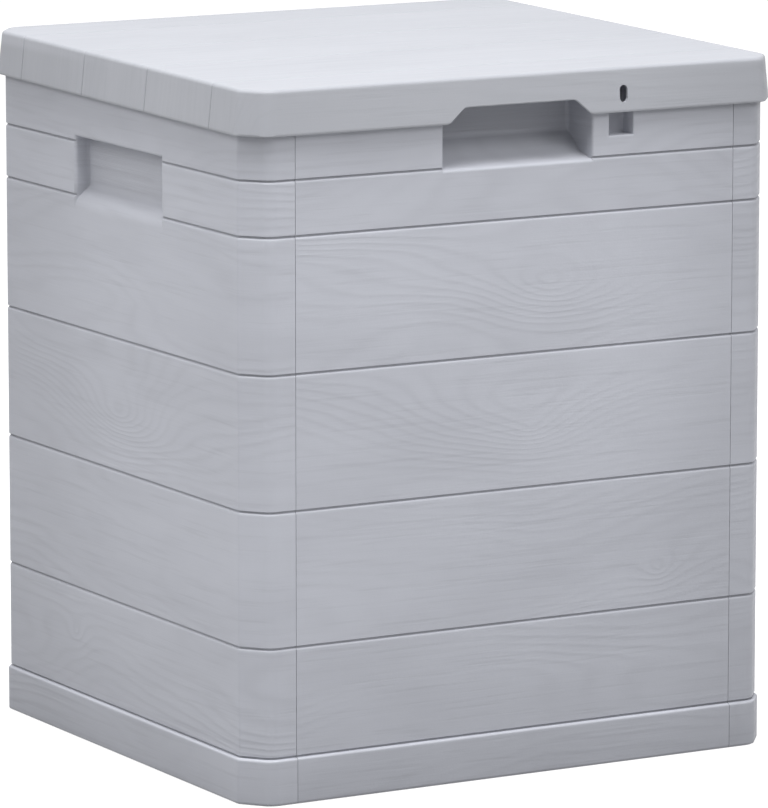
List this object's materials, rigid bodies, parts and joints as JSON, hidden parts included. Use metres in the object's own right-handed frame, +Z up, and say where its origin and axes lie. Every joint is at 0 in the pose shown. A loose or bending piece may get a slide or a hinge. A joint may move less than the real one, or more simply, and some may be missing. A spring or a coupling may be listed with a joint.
{
  "type": "garden storage box",
  "caption": "Upright plastic garden storage box with plank-pattern walls, hinged lid with finger cut-out, side hand-holds and a padlock slot.",
  "frame": {"origin": "on the ground under the middle of the box", "axes": "+X to the right seen from the front, +Y from front to back, +Z up; the front with the finger scoop faces -Y"},
  "size_m": [0.464, 0.428, 0.54],
  "materials": {
    "wall_plastic": "matte with wood grain",
    "lid_plastic": "matte with wood grain",
    "floor_plastic": "matte",
    "pin_plastic": "matte",
    "screw_steel": "zinc plated"
  },
  "bodies": {
    "box": {"front_panel": "wall_plastic", "back_panel": "wall_plastic", "left_panel": "wall_plastic", "right_panel": "wall_plastic", "floor_panel": "floor_plastic", "hinge_pin_left": "pin_plastic", "hinge_pin_right": "pin_plastic", "front_left_screws": "screw_steel", "front_right_screws": "screw_steel", "rear_left_screws": "screw_steel", "rear_right_screws": "screw_steel"},
    "lid": {"lid": "lid_plastic"}
  },
  "joints": [
    {"name": "lid_hinge", "type": "hinge", "parent": "box", "child": "lid", "pos_m": [0, 0.2079, 0.5], "axis": [-1, 0, 0], "range_deg": [0, 100]}
  ]
}
